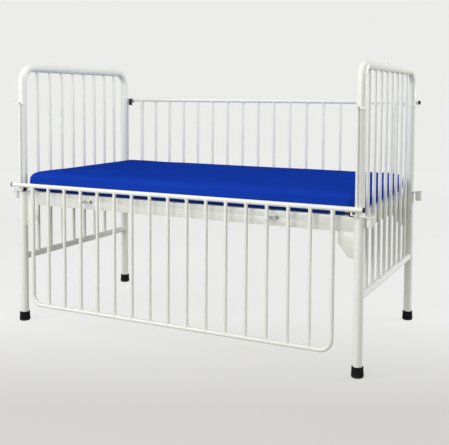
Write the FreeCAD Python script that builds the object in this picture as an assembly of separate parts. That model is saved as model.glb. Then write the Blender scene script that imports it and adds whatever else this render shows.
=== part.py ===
import FreeCAD, Part
import math
import os

V = FreeCAD.Vector

# Pediatric hospital cot: two arched tube ends, a sprung-latch drop guard on each long side,
# a steel deck and a vinyl mattress. Millimetres, +X along the bed, -Y the front, floor at Z = 0.
# The front guard is modelled lowered and the rear guard raised.

# ---- driving dimensions -------------------------------------------------------------------

# arched ends
LEG_X = 687.5              # leg axes, half the length between the end arches
LEG_Y = 340.0              # leg axes, half the width between the legs
TOP_BAR_Z = 1000.0         # axis of the arch's top bar
LEG_D = 31.75
LEG_WALL = 2.0
ARCH_BEND_R = 57.0         # centre-line radius of the arch's corners
CROSSBAR_Z = 257.0
CROSSBAR_D = 25.4
CROSSBAR_WALL = 1.8
END_BAR_COUNT = 8
END_BAR_PITCH = 73.1
BAR_D = 12.7
BAR_WALL = 1.2

# rubber feet
FOOT_GRIP = 4.625          # rubber round the leg
FOOT_D = LEG_D + 2 * FOOT_GRIP
FOOT_HEIGHT = 36.0
FOOT_BASE = 8.0            # rubber under the tube's end
FOOT_RIB_D = FOOT_D + 3.0
FOOT_RIB_HEIGHT = 7.0
FOOT_BEVEL = 2.0           # bevels under the rib and at the mouth
FOOT_SHOULDER = 3.0        # slope above the rib
FOOT_TAPER = 1.0

# bed frame
RAIL_TOP_Z = 515.0
RAIL_HEIGHT = 50.0
RAIL_SHEET = 2.0
RAIL_FLANGE = 22.0
RAIL_SETBACK = 2.0         # rail's outer face inside the plane of the leg axes
RAIL_LIP = 8.0             # return lip on the channel's lower flange
RAIL_END_STEP = 3.5        # rail's end short of the deck's, past the leg's inner side
GUSSET_COPE = 6.0          # gusset past the leg's inner side, cut to fit round it
END_FLANGE_WIDTH = 28.0
END_FLANGE_SHEET = 3.0
BEARER_COUNT = 5
BEARER_PITCH = 240.0
BEARER_SIZE = 25.0
BEARER_WALL = 1.5
BEARER_CORNER_R = 3.0
DECK_SHEET = 1.5
DECK_HOLE_D = 28.0
DECK_HOLE_PITCH_X = 100.0
DECK_HOLE_PITCH_Y = 110.0
DECK_HOLE_COLUMNS = 12
DECK_HOLE_ROWS = 5
DECK_CORNER_CUT = LEG_D / 2 + 6.125    # corner notch round each leg

# corner gussets under the side rails
GUSSET_SHEET = 3.0
GUSSET_TOP_WIDTH = 57.0
GUSSET_FOOT_WIDTH = 22.0
GUSSET_STRAIGHT = 37.0     # full-width height under the rail
GUSSET_HEIGHT = 84.0

# socket plates and accessory sockets
SOCKET_PLATE_TOP_Z = 522.5
SOCKET_PLATE_SHEET = 5.0
SOCKET_LEG_GAP = 7.0
SOCKET_D = 25.4
SOCKET_REACH = (LEG_D + SOCKET_D) / 2 + SOCKET_LEG_GAP    # axis outward of the leg axis
PLATE_INNER = LEG_D / 2 - 0.375          # plate edge inward of the leg axis
PLATE_OUTER = SOCKET_REACH + 12.5        # plate edge outward of the leg axis
PLATE_BACK = LEG_D / 2 - 1.875           # plate edge behind the leg axis
PLATE_CORNER_R = 6.0
SOCKET_WALL = 2.2
SOCKET_DROP = 31.0

# upper brackets, guide rods and nuts
BRACKET_DROP = 139.0       # top bar axis to the bracket's top
BRACKET_SHEET = 4.0
BRACKET_CORNER_R = 3.0
BRACKET_OUTER = LEG_D / 2 + 3.125
BRACKET_BACK = LEG_D / 2 - 5.875
ROD_D = 8.0
ROD_INWARD = 5.0           # rod axis inward of the leg axis
ROD_OUTWARD = LEG_D / 2 + 5.125          # rod axis out past the leg axis, across the bed
ROD_EYE_R = 5.5            # metal round the rod in the plates
ROD_BORE_CLEARANCE = 0.05
NUT_D = 9.0
NUT_HEIGHT = 4.5

# drop guards
GUARD_TUBE_D = 15.9
GUARD_EYE_GAP = 0.55       # top rail to the rod eyes
GUARD_OFFSET = ROD_OUTWARD + ROD_EYE_R + GUARD_TUBE_D / 2 + GUARD_EYE_GAP    # past the leg axis
GUARD_TUBE_WALL = 1.5
GUARD_DEPTH = 462.5        # top rail axis to bottom rail axis
GUARD_CORNER_R = 40.0
GUARD_BAR_COUNT = 15
GUARD_BAR_PITCH = 76.2
GUARD_OVERHANG = 20.0      # top rail's end past the leg axis
PLUG_D = 16.8
PLUG_HEAD = 8.0
PLUG_STEM = 18.0
RAIL_OVER_BRACKET = 14.5   # raised rail's axis above the bracket

# slider lugs and latches on the guards
LUG_SHEET = 3.0
LUG_DROP = 22.0            # rail axis to the underside of the lug
LUG_FLANGE_WIDTH = 6.0
LUG_FLANGE_SHEET = 3.0
LUG_FLANGE_BITE = 1.5      # flange coped into the rail's side
LUG_CLEARANCE = 1.0
LATCH_WIDTH = 11.0
LATCH_DEPTH = 12.5
LATCH_TOP_RISE = 5.0       # rail axis to the top of the housing
LATCH_LENGTH = 31.0
LATCH_EDGE_R = 2.5
PIN_D = 5.0
PIN_DROP = 11.0            # rail axis to the pin axis
PIN_OVERLAP = 4.5          # pin tip over the bracket
PIN_TAIL = 9.5             # pin standing out of the housing at rest
KNOB_D = 8.5
KNOB_LENGTH = 5.0

# guide rings on the side rails
RING_BAR = 3               # guarded bar, counted from each end of the guard
RING_TOP_Z = 499.0
RING_HEIGHT = 10.0
RING_WALL = 3.0
RING_CLEARANCE = 0.8
RING_STRAP_LENGTH = 30.0
RING_STRAP_SHEET = 3.0
BOLT_D = 8.0
BOLT_HEAD_D = 13.0
BOLT_HEAD_HEIGHT = 5.0

# mattress
MATTRESS_END_GAP = 1.625   # to the legs
MATTRESS_SIDE_GAP = 17.05  # to the guards' rails
MATTRESS_THICKNESS = 78.0
MATTRESS_CORNER_R = 18.0
MATTRESS_EDGE_R = 14.0

# small gap between pieces of different bodies, and under the mattress
SOFT_GAP = 0.3

# ---- sizes that follow --------------------------------------------------------------------

END_BAR_FIRST_Y = -END_BAR_PITCH * (END_BAR_COUNT - 1) / 2
GUARD_Y = LEG_Y + GUARD_OFFSET
GUARD_FRAME_X = GUARD_BAR_PITCH * (GUARD_BAR_COUNT + 1) / 2
GUARD_RAIL_END = LEG_X + GUARD_OVERHANG
RAIL_FACE_Y = LEG_Y - RAIL_SETBACK
ROD_X = LEG_X - ROD_INWARD
ROD_Y = LEG_Y + ROD_OUTWARD
PLATE_EDGE_X = LEG_X - PLATE_INNER
RAIL_BOTTOM_Z = RAIL_TOP_Z - RAIL_HEIGHT
DECK_TOP_Z = RAIL_TOP_Z + DECK_SHEET
BRACKET_TOP_Z = TOP_BAR_Z - BRACKET_DROP
LOWERED_RAIL_Z = SOCKET_PLATE_TOP_Z + LUG_DROP
RAISED_RAIL_Z = BRACKET_TOP_Z + RAIL_OVER_BRACKET
SOCKET_PLATE_Z = SOCKET_PLATE_TOP_Z - SOCKET_PLATE_SHEET
BRACKET_Z = BRACKET_TOP_Z - BRACKET_SHEET
LATCH_FACE_X = PLATE_EDGE_X - LUG_CLEARANCE
LATCH_IN_X = LATCH_FACE_X - LATCH_WIDTH
LATCH_OUT_Y = GUARD_Y - GUARD_TUBE_D / 2 - LUG_FLANGE_SHEET + LUG_FLANGE_BITE
PIN_Y = LATCH_OUT_Y - LATCH_DEPTH / 2
MATTRESS_LENGTH = 2 * (LEG_X - LEG_D / 2 - MATTRESS_END_GAP)
MATTRESS_WIDTH = 2 * (GUARD_Y - GUARD_TUBE_D / 2 - MATTRESS_SIDE_GAP)

ENDS = {"left": -1, "right": 1}
SIDES = {"front": -1, "rear": 1}


# ---- helpers ------------------------------------------------------------------------------

def box(x0, x1, y0, y1, z0, z1):
    """A box between two corners given in any order."""
    lows = [min(a, b) for a, b in ((x0, x1), (y0, y1), (z0, z1))]
    sizes = [abs(a - b) for a, b in ((x0, x1), (y0, y1), (z0, z1))]
    return Part.makeBox(*sizes, V(*lows))


def rod(start, end, diameter):
    """A round bar from start to end."""
    along = end - start
    return Part.makeCylinder(diameter / 2, along.Length, start, along)


def bent_path(points, bend_radius):
    """Straight runs joined by tangent arcs of one centre-line radius."""
    edges = []
    start = points[0]
    for before, corner, after in zip(points, points[1:], points[2:]):
        arriving = (corner - before).normalize()
        leaving = (after - corner).normalize()
        half_turn = arriving.getAngle(leaving) / 2
        setback = bend_radius * math.tan(half_turn)
        arc_start = corner - arriving * setback
        arc_end = corner + leaving * setback
        bisector = (leaving - arriving).normalize()
        middle = corner + bisector * bend_radius * (1 / math.cos(half_turn) - 1)
        edges.append(Part.makeLine(start, arc_start))
        edges.append(Part.Arc(arc_start, middle, arc_end).toShape())
        start = arc_end
    edges.append(Part.makeLine(start, points[-1]))
    return Part.Wire(edges)


def bent_bar(points, bend_radius, diameter):
    """A round bar along a bent path."""
    along = points[1] - points[0]
    section = Part.Wire(Part.makeCircle(diameter / 2, points[0], along))
    return bent_path(points, bend_radius).makePipe(Part.Face(section))


def bent_tube(points, bend_radius, diameter, wall):
    """A tube along a bent path, open at both ends."""
    outside = bent_bar(points, bend_radius, diameter)
    return outside.cut(bent_bar(points, bend_radius, diameter - 2 * wall))


def tube(start, end, diameter, wall):
    """A straight tube, open at both ends."""
    return rod(start, end, diameter).cut(rod(start, end, diameter - 2 * wall))


def rounded_plate(x0, x1, y0, y1, z0, thickness, radius):
    """A flat plate with its upright edges rounded."""
    plate = box(x0, x1, y0, y1, z0, z0 + thickness)
    upright = [e for e in plate.Edges if e.Length > thickness * 0.99 and is_upright(e)]
    return plate.makeFillet(radius, upright)


def is_upright(edge):
    """True for an edge that runs along Z."""
    a, b = edge.Vertexes[0].Point, edge.Vertexes[-1].Point
    return abs(a.x - b.x) < 1e-6 and abs(a.y - b.y) < 1e-6


def extrude_outline(corners, direction):
    """A prism from a flat outline of corner points."""
    return Part.Face(Part.makePolygon(corners + corners[:1])).extrude(direction)


def mirrored(shape, end, side):
    """Put a piece drawn at the rear right corner at the end and side named by two signs."""
    if end < 0:
        shape = shape.mirror(V(0, 0, 0), V(1, 0, 0))
    if side < 0:
        shape = shape.mirror(V(0, 0, 0), V(0, 1, 0))
    return shape


def group(shapes):
    """Separate solids kept in one sub-part."""
    return Part.makeCompound([solid for shape in shapes for solid in shape.Solids])


# ---- arched ends --------------------------------------------------------------------------

def arch_path(x):
    return [V(x, -LEG_Y, FOOT_BASE), V(x, -LEG_Y, TOP_BAR_Z), V(x, LEG_Y, TOP_BAR_Z),
            V(x, LEG_Y, FOOT_BASE)]


def arch_solid(x):
    """The arch's outer shape, used to cope what is welded to it."""
    return bent_bar(arch_path(x), ARCH_BEND_R, LEG_D)


def end_arch(x):
    return bent_tube(arch_path(x), ARCH_BEND_R, LEG_D, LEG_WALL)


def crossbar_solid(x):
    return rod(V(x, -LEG_Y, CROSSBAR_Z), V(x, LEG_Y, CROSSBAR_Z), CROSSBAR_D)


def crossbar(x, arch):
    bar = tube(V(x, -LEG_Y, CROSSBAR_Z), V(x, LEG_Y, CROSSBAR_Z), CROSSBAR_D, CROSSBAR_WALL)
    return bar.cut(arch)


def end_bars(x, arch):
    """Upright bars coped on to the crossbar and the arch's top bar."""
    lower = crossbar_solid(x)
    bars = []
    for i in range(END_BAR_COUNT):
        y = END_BAR_FIRST_Y + i * END_BAR_PITCH
        bar = tube(V(x, y, CROSSBAR_Z), V(x, y, TOP_BAR_Z), BAR_D, BAR_WALL)
        bars.append(bar.cut(lower).cut(arch))
    return group(bars)


def foot():
    """A moulded rubber ferrule: a cup on the leg's end with a ribbed base."""
    rib, body, mouth = FOOT_RIB_D / 2, FOOT_D / 2, FOOT_D / 2 - FOOT_TAPER
    profile = [V(0, 0, 0), V(rib - FOOT_BEVEL, 0, 0), V(rib, 0, FOOT_BEVEL),
               V(rib, 0, FOOT_RIB_HEIGHT), V(body, 0, FOOT_RIB_HEIGHT + FOOT_SHOULDER),
               V(mouth, 0, FOOT_HEIGHT - FOOT_BEVEL), V(mouth - FOOT_BEVEL, 0, FOOT_HEIGHT),
               V(LEG_D / 2, 0, FOOT_HEIGHT), V(LEG_D / 2, 0, FOOT_BASE), V(0, 0, FOOT_BASE)]
    face = Part.Face(Part.makePolygon(profile + profile[:1]))
    cup = face.revolve(V(0, 0, 0), V(0, 0, 1), 360)
    cup.translate(V(LEG_X, LEG_Y, 0))
    return cup


# ---- bed frame ----------------------------------------------------------------------------

def side_rail(arches):
    """A folded channel, open inwards, coped round the legs at both ends."""
    face, inner = RAIL_FACE_Y, RAIL_FACE_Y - RAIL_FLANGE
    low, high, sheet = RAIL_BOTTOM_Z, RAIL_TOP_Z, RAIL_SHEET
    outline = [V(0, face, low), V(0, face, high), V(0, inner, high), V(0, inner, high - sheet),
               V(0, face - sheet, high - sheet), V(0, face - sheet, low + sheet),
               V(0, inner + sheet, low + sheet), V(0, inner + sheet, low + RAIL_LIP),
               V(0, inner, low + RAIL_LIP), V(0, inner, low)]
    end = LEG_X - BAR_D / 2 - RAIL_END_STEP
    rail = extrude_outline(outline, V(2 * end, 0, 0))
    rail.translate(V(-end, 0, 0))
    for arch in arches:
        rail = rail.cut(arch)
    for end in ENDS.values():
        rail = rail.cut(ring_bolt_shank(end))
    return largest(rail)


def largest(shape):
    """The biggest solid of a cut."""
    return max(shape.Solids, key=lambda solid: solid.Volume)


def end_angle():
    """The angle that closes the bed frame across the right end, between the side rails."""
    outer = LEG_X - BAR_D / 2
    span = RAIL_FACE_Y - RAIL_FLANGE
    high, sheet = RAIL_TOP_Z, END_FLANGE_SHEET
    outline = [V(outer, -span, high), V(outer - END_FLANGE_WIDTH, -span, high),
               V(outer - END_FLANGE_WIDTH, -span, high - sheet), V(outer - sheet, -span, high - sheet),
               V(outer - sheet, -span, high - RAIL_HEIGHT), V(outer, -span, high - RAIL_HEIGHT)]
    return extrude_outline(outline, V(0, 2 * span, 0))


def bearers():
    """Square tubes across the bed under the deck."""
    half = BEARER_SIZE / 2
    reach = RAIL_FACE_Y - RAIL_SHEET
    top = RAIL_TOP_Z - RAIL_SHEET
    tubes = []
    for i in range(BEARER_COUNT):
        x = (i - (BEARER_COUNT - 1) / 2) * BEARER_PITCH
        outside = box(x - half, x + half, -reach, reach, top - BEARER_SIZE, top)
        along = [e for e in outside.Edges if e.Length > reach]
        outside = outside.makeFillet(BEARER_CORNER_R, along)
        wall = BEARER_WALL
        hollow = box(x - half + wall, x + half - wall, -reach, reach,
                     top - BEARER_SIZE + wall, top - wall)
        tubes.append(outside.cut(hollow))
    return group(tubes)


def deck():
    """Vented sheet on top of the bed frame, notched round the legs."""
    end = LEG_X - BAR_D / 2
    plate = box(-end, end, -RAIL_FACE_Y, RAIL_FACE_Y, RAIL_TOP_Z, DECK_TOP_Z)
    for x in (-end, end):
        for y in (-RAIL_FACE_Y, RAIL_FACE_Y):
            notch = box(x - DECK_CORNER_CUT, x + DECK_CORNER_CUT, y - DECK_CORNER_CUT,
                        y + DECK_CORNER_CUT, RAIL_TOP_Z - 1, DECK_TOP_Z + 1)
            plate = plate.cut(notch)
    holes = []
    for i in range(DECK_HOLE_COLUMNS):
        for j in range(DECK_HOLE_ROWS):
            x = (i - (DECK_HOLE_COLUMNS - 1) / 2) * DECK_HOLE_PITCH_X
            y = (j - (DECK_HOLE_ROWS - 1) / 2) * DECK_HOLE_PITCH_Y
            holes.append(rod(V(x, y, RAIL_TOP_Z - 1), V(x, y, DECK_TOP_Z + 1), DECK_HOLE_D))
    return plate.cut(Part.makeCompound(holes))


def gusset(arch):
    """A flat corner plate under the side rail, welded to the leg."""
    top = RAIL_BOTTOM_Z
    face = RAIL_FACE_Y
    edge = LEG_X - LEG_D / 2
    leg_side = edge + GUSSET_COPE
    outline = [V(leg_side, face, top), V(edge - GUSSET_TOP_WIDTH, face, top),
               V(edge - GUSSET_TOP_WIDTH, face, top - GUSSET_STRAIGHT),
               V(edge - GUSSET_FOOT_WIDTH, face, top - GUSSET_HEIGHT),
               V(leg_side, face, top - GUSSET_HEIGHT)]
    plate = extrude_outline(outline, V(0, -GUSSET_SHEET, 0))
    return largest(plate.cut(arch))


# ---- corner hardware ----------------------------------------------------------------------

def plate_with_rod_eye(outer_x, back, z, sheet, corner_radius):
    """A corner plate clamped round the leg, with an eye that holds the guide rod's end."""
    plate = rounded_plate(PLATE_EDGE_X, LEG_X + outer_x, LEG_Y - back, ROD_Y, z, sheet,
                          corner_radius)
    eye = rod(V(ROD_X, ROD_Y, z), V(ROD_X, ROD_Y, z + sheet), 2 * ROD_EYE_R)
    return plate.fuse(eye).removeSplitter()


def leg_piece(z0, z1):
    """The stretch of leg that a corner plate is coped round."""
    return rod(V(LEG_X, LEG_Y, z0), V(LEG_X, LEG_Y, z1), LEG_D)


def socket_plate():
    plate = plate_with_rod_eye(PLATE_OUTER, PLATE_BACK, SOCKET_PLATE_Z, SOCKET_PLATE_SHEET,
                               PLATE_CORNER_R)
    plate = largest(plate.cut(leg_piece(0, TOP_BAR_Z - ARCH_BEND_R)))
    x = LEG_X + SOCKET_REACH
    bore = SOCKET_D - 2 * SOCKET_WALL
    plate = plate.cut(rod(V(x, LEG_Y, 0), V(x, LEG_Y, SOCKET_PLATE_TOP_Z), bore))
    return plate.cut(rod(V(ROD_X, ROD_Y, 0), V(ROD_X, ROD_Y, TOP_BAR_Z), ROD_D))


def accessory_socket():
    """The tube under the socket plate that takes a pole."""
    x = LEG_X + SOCKET_REACH
    low = SOCKET_PLATE_Z - SOCKET_DROP
    return tube(V(x, LEG_Y, low), V(x, LEG_Y, SOCKET_PLATE_Z), SOCKET_D, SOCKET_WALL)


def upper_bracket():
    bracket = plate_with_rod_eye(BRACKET_OUTER, BRACKET_BACK, BRACKET_Z, BRACKET_SHEET,
                                 BRACKET_CORNER_R)
    bracket = largest(bracket.cut(leg_piece(0, TOP_BAR_Z - ARCH_BEND_R)))
    return bracket.cut(rod(V(ROD_X, ROD_Y, 0), V(ROD_X, ROD_Y, TOP_BAR_Z), ROD_D))


def guide_rod():
    return rod(V(ROD_X, ROD_Y, SOCKET_PLATE_Z), V(ROD_X, ROD_Y, BRACKET_TOP_Z), ROD_D)


def rod_nut():
    """A low domed nut on the guide rod's upper end."""
    nut = rod(V(ROD_X, ROD_Y, BRACKET_TOP_Z), V(ROD_X, ROD_Y, BRACKET_TOP_Z + NUT_HEIGHT), NUT_D)
    top = [e for e in nut.Edges if abs(e.BoundBox.ZMin - BRACKET_TOP_Z - NUT_HEIGHT) < 1e-6]
    return nut.makeFillet(NUT_HEIGHT / 2, top[:1])


# ---- guide rings --------------------------------------------------------------------------

def ring_x(end):
    """Axis of the guard bar that a guide ring holds."""
    return end * ((GUARD_BAR_COUNT - 1) / 2 - RING_BAR + 1) * GUARD_BAR_PITCH


def guide_ring(end):
    """A ring round one guard bar, on a strap bolted to the side rail's face."""
    x = ring_x(end)
    low = RING_TOP_Z - RING_HEIGHT
    bore = BAR_D + 2 * RING_CLEARANCE
    outer = bore + 2 * RING_WALL
    face = RAIL_FACE_Y
    neck = box(x - RING_STRAP_SHEET, x + RING_STRAP_SHEET, face, GUARD_Y - bore / 2 - 0.5,
               low, RING_TOP_Z)
    strap = box(x - RING_STRAP_SHEET, x + RING_STRAP_LENGTH, face, face + RING_STRAP_SHEET,
                low - 2, RING_TOP_Z + 2)
    eye = rod(V(x, GUARD_Y, low), V(x, GUARD_Y, RING_TOP_Z), outer)
    shape = eye.multiFuse([neck, strap]).removeSplitter()
    shape = shape.cut(rod(V(x, GUARD_Y, low - 1), V(x, GUARD_Y, RING_TOP_Z + 1), bore))
    return shape.cut(ring_bolt_shank(end))


def ring_bolt_shank(end):
    x = ring_x(end) + RING_STRAP_LENGTH - BOLT_HEAD_D / 2 - 2
    z = RING_TOP_Z - RING_HEIGHT / 2
    start = RAIL_FACE_Y - RAIL_SHEET
    return rod(V(x, start, z), V(x, RAIL_FACE_Y + RING_STRAP_SHEET, z), BOLT_D)


def ring_bolt(end):
    """A domed bolt that holds the ring's strap on the side rail."""
    x = ring_x(end) + RING_STRAP_LENGTH - BOLT_HEAD_D / 2 - 2
    z = RING_TOP_Z - RING_HEIGHT / 2
    seat = RAIL_FACE_Y + RING_STRAP_SHEET
    head = rod(V(x, seat, z), V(x, seat + BOLT_HEAD_HEIGHT, z), BOLT_HEAD_D)
    rim = [e for e in head.Edges if abs(e.BoundBox.YMin - seat - BOLT_HEAD_HEIGHT) < 1e-6]
    head = head.makeFillet(BOLT_HEAD_HEIGHT / 2, rim[:1])
    return head.fuse(ring_bolt_shank(end)).removeSplitter()


# ---- drop guards --------------------------------------------------------------------------

def guard_top_rail(z):
    return tube(V(-GUARD_RAIL_END, GUARD_Y, z), V(GUARD_RAIL_END, GUARD_Y, z), GUARD_TUBE_D,
                GUARD_TUBE_WALL)


def guard_rail_solid(z):
    return rod(V(-GUARD_RAIL_END, GUARD_Y, z), V(GUARD_RAIL_END, GUARD_Y, z), GUARD_TUBE_D)


def guard_frame_path(z):
    low = z - GUARD_DEPTH
    return [V(-GUARD_FRAME_X, GUARD_Y, z), V(-GUARD_FRAME_X, GUARD_Y, low),
            V(GUARD_FRAME_X, GUARD_Y, low), V(GUARD_FRAME_X, GUARD_Y, z)]


def guard_frame(z):
    """The U of bent tube that hangs from the top rail."""
    frame = bent_tube(guard_frame_path(z), GUARD_CORNER_R, GUARD_TUBE_D, GUARD_TUBE_WALL)
    return frame.cut(guard_rail_solid(z))


def guard_bars(z):
    top = guard_rail_solid(z)
    low = z - GUARD_DEPTH
    bottom = rod(V(-GUARD_FRAME_X, GUARD_Y, low), V(GUARD_FRAME_X, GUARD_Y, low), GUARD_TUBE_D)
    bars = []
    for i in range(GUARD_BAR_COUNT):
        x = (i - (GUARD_BAR_COUNT - 1) / 2) * GUARD_BAR_PITCH
        bar = tube(V(x, GUARD_Y, low), V(x, GUARD_Y, z), BAR_D, BAR_WALL)
        bars.append(bar.cut(top).cut(bottom))
    return group(bars)


def end_plug(z):
    """A plastic plug in the open end of the top rail."""
    start = GUARD_RAIL_END
    stem = rod(V(start - PLUG_STEM, GUARD_Y, z), V(start, GUARD_Y, z),
               GUARD_TUBE_D - 2 * GUARD_TUBE_WALL)
    head = rod(V(start, GUARD_Y, z), V(start + PLUG_HEAD, GUARD_Y, z), PLUG_D)
    rim = [e for e in head.Edges if abs(e.BoundBox.XMin - start - PLUG_HEAD) < 1e-6]
    return head.makeFillet(PLUG_D * 0.2, rim[:1]).fuse(stem).removeSplitter()


def slider_lug(z):
    """Bent steel lug: a flange welded inside the top rail and a tab that runs on the rod."""
    tab_low = z - LUG_DROP
    back = LATCH_OUT_Y
    flange = box(LATCH_FACE_X - LUG_FLANGE_WIDTH, LATCH_FACE_X, back, back + LUG_FLANGE_SHEET,
                 tab_low, z)
    tab = box(LATCH_FACE_X - LUG_FLANGE_WIDTH, ROD_X, back, back + LUG_FLANGE_SHEET,
              tab_low, tab_low + LUG_SHEET)
    arm = box(LATCH_FACE_X + 0.5, ROD_X, ROD_Y - ROD_EYE_R, back + LUG_FLANGE_SHEET,
              tab_low, tab_low + LUG_SHEET)
    nose = rod(V(ROD_X, ROD_Y, tab_low), V(ROD_X, ROD_Y, tab_low + LUG_SHEET),
               2 * (ROD_EYE_R + 1.5))
    shape = flange.multiFuse([tab, arm, nose]).removeSplitter()
    bore = ROD_D + 2 * ROD_BORE_CLEARANCE
    shape = shape.cut(rod(V(ROD_X, ROD_Y, tab_low - 1), V(ROD_X, ROD_Y, z), bore))
    leg_room = LEG_D + 2 * LUG_CLEARANCE
    shape = shape.cut(rod(V(LEG_X, LEG_Y, tab_low - 1), V(LEG_X, LEG_Y, z), leg_room))
    return largest(shape.cut(guard_rail_solid(z)))


def latch_housing(z):
    """Moulded latch body behind the lug's flange, bored for the spring pin."""
    top = z + LATCH_TOP_RISE
    body = box(LATCH_IN_X, LATCH_FACE_X, LATCH_OUT_Y - LATCH_DEPTH, LATCH_OUT_Y,
               top - LATCH_LENGTH, top)
    inner = [e for e in body.Edges if is_upright(e)
             and e.BoundBox.YMax < LATCH_OUT_Y - LATCH_DEPTH / 2]
    body = body.makeFillet(LATCH_EDGE_R, inner)
    bore = PIN_D + 2 * ROD_BORE_CLEARANCE
    pin_z = z - PIN_DROP
    return body.cut(rod(V(LATCH_IN_X - 1, PIN_Y, pin_z), V(LATCH_FACE_X + 1, PIN_Y, pin_z), bore))


def latch_pin(z):
    """Spring pin with a round knob on its inner end."""
    pin_z = z - PIN_DROP
    tip = PLATE_EDGE_X + PIN_OVERLAP
    tail = LATCH_IN_X - PIN_TAIL
    pin = rod(V(tail, PIN_Y, pin_z), V(tip, PIN_Y, pin_z), PIN_D)
    nose = [e for e in pin.Edges if abs(e.BoundBox.XMin - tip) < 1e-6]
    pin = pin.makeChamfer(0.8, nose[:1])
    knob = rod(V(tail - KNOB_LENGTH, PIN_Y, pin_z), V(tail, PIN_Y, pin_z), KNOB_D)
    rims = [e for e in knob.Edges if e.Closed]
    knob = knob.makeFillet(KNOB_D * 0.2, rims)
    return pin.fuse(knob).removeSplitter()


# ---- mattress -----------------------------------------------------------------------------

def mattress():
    half_x, half_y = MATTRESS_LENGTH / 2, MATTRESS_WIDTH / 2
    low = DECK_TOP_Z + SOFT_GAP
    block = rounded_plate(-half_x, half_x, -half_y, half_y, low, MATTRESS_THICKNESS,
                          MATTRESS_CORNER_R)
    rims = [e for e in block.Edges if not is_upright(e)]
    return block.makeFillet(MATTRESS_EDGE_R, rims)


# ---- the parts ----------------------------------------------------------------------------

def frame_parts():
    arches = {name: arch_solid(end * LEG_X) for name, end in ENDS.items()}
    parts = {}
    for name, end in ENDS.items():
        x = end * LEG_X
        parts[name + "_end_arch"] = end_arch(x)
        parts[name + "_crossbar"] = crossbar(x, arches[name])
        parts[name + "_end_bars"] = end_bars(x, arches[name])
        parts[name + "_end_angle"] = mirrored(end_angle(), end, 1)
    rail = side_rail(arches.values())
    corner = gusset(arches["right"])
    for side_name, side in SIDES.items():
        parts[side_name + "_side_rail"] = mirrored(rail, 1, side)
        parts[side_name + "_gussets"] = group([mirrored(corner, e, side) for e in (-1, 1)])
        parts[side_name + "_upper_brackets"] = group(
            [mirrored(upper_bracket(), e, side) for e in (-1, 1)])
        for end_name, end in ENDS.items():
            place = side_name + "_" + end_name
            parts["foot_" + place] = mirrored(foot(), end, side)
            parts["socket_plate_" + place] = mirrored(socket_plate(), end, side)
            parts["accessory_socket_" + place] = mirrored(accessory_socket(), end, side)
            parts["guide_rod_" + place] = mirrored(guide_rod(), end, side)
            parts["guide_ring_" + place] = mirrored(guide_ring(end), 1, side)
    parts["rod_nuts"] = group(
        [mirrored(rod_nut(), e, s) for e in (-1, 1) for s in (-1, 1)])
    parts["ring_bolts"] = group(
        [mirrored(ring_bolt(e), 1, s) for e in (-1, 1) for s in (-1, 1)])
    parts["deck_bearers"] = bearers()
    parts["bed_deck"] = deck()
    parts["mattress"] = mattress()
    return parts


def guard_parts(side_name, side, z):
    parts = {
        "guard_top_rail": guard_top_rail(z),
        "guard_frame": guard_frame(z),
        "guard_bars": guard_bars(z),
        "guard_end_plugs": group([mirrored(end_plug(z), e, 1) for e in (-1, 1)]),
        "guard_lugs": group([mirrored(slider_lug(z), e, 1) for e in (-1, 1)]),
        "latch_housings": group([mirrored(latch_housing(z), e, 1) for e in (-1, 1)]),
    }
    for end_name, end in ENDS.items():
        parts["latch_pin_" + end_name] = mirrored(latch_pin(z), end, 1)
    return {side_name + "_" + name: mirrored(shape, 1, side) for name, shape in parts.items()}


def main():
    parts = frame_parts()
    parts.update(guard_parts("front", SIDES["front"], LOWERED_RAIL_Z))
    parts.update(guard_parts("rear", SIDES["rear"], RAISED_RAIL_Z))
    os.makedirs("parts", exist_ok=True)
    for name, shape in parts.items():
        shape.exportStep("parts/" + name + ".step")
    print(len(parts), "parts written")


main()
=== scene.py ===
"""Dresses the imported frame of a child's hospital cot: smooth enamelled tubes with their welds,
rubber feet, drop-guard latches and a vinyl mattress, on a pale studio floor."""

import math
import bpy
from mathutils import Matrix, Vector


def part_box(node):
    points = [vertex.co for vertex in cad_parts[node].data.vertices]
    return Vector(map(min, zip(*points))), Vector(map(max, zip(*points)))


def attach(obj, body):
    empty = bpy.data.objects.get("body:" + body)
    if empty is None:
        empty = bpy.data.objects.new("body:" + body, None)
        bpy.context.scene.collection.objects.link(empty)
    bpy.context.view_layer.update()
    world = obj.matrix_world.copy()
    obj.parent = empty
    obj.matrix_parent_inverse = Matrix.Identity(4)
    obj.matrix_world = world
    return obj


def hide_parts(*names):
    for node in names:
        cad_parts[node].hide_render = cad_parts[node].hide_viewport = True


bl_info = {
    "name": "Hospital Cot",
    "version": (1, 0, 0),
    "blender": (4, 5, 0),
    "location": "3D View > Sidebar > Cot",
    "description": "Builds a child's hospital cot with drop guards and a vinyl mattress",
    "category": "Add Mesh",
}

from bisect import bisect_right

import bmesh
import bpy
import numpy as np
from bpy.props import FloatProperty, FloatVectorProperty, IntProperty, PointerProperty
from mathutils import Matrix, Vector, noise
from mathutils.bvhtree import BVHTree

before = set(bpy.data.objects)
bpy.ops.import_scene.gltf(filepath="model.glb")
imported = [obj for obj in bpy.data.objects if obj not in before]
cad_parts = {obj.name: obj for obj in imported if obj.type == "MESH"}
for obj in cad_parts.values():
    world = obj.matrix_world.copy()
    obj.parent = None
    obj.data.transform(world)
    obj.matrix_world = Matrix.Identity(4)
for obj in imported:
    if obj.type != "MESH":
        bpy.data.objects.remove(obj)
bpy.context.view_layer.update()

ENDS = {"left": -1, "right": 1}
SIDES = {"front": -1, "rear": 1}
CORNERS = ["%s_%s" % (side, end) for side in SIDES for end in ENDS]

NO_TURN = (0, 0, 0)
QUARTER = math.pi / 2


# ---- places read from the frame -----------------------------------------------------------

def middle(node):
    """Centre of a CAD node's box."""
    low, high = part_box(node)
    return (low + high) / 2


def size(node):
    """Lengths of a CAD node's box."""
    low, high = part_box(node)
    return high - low


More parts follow.
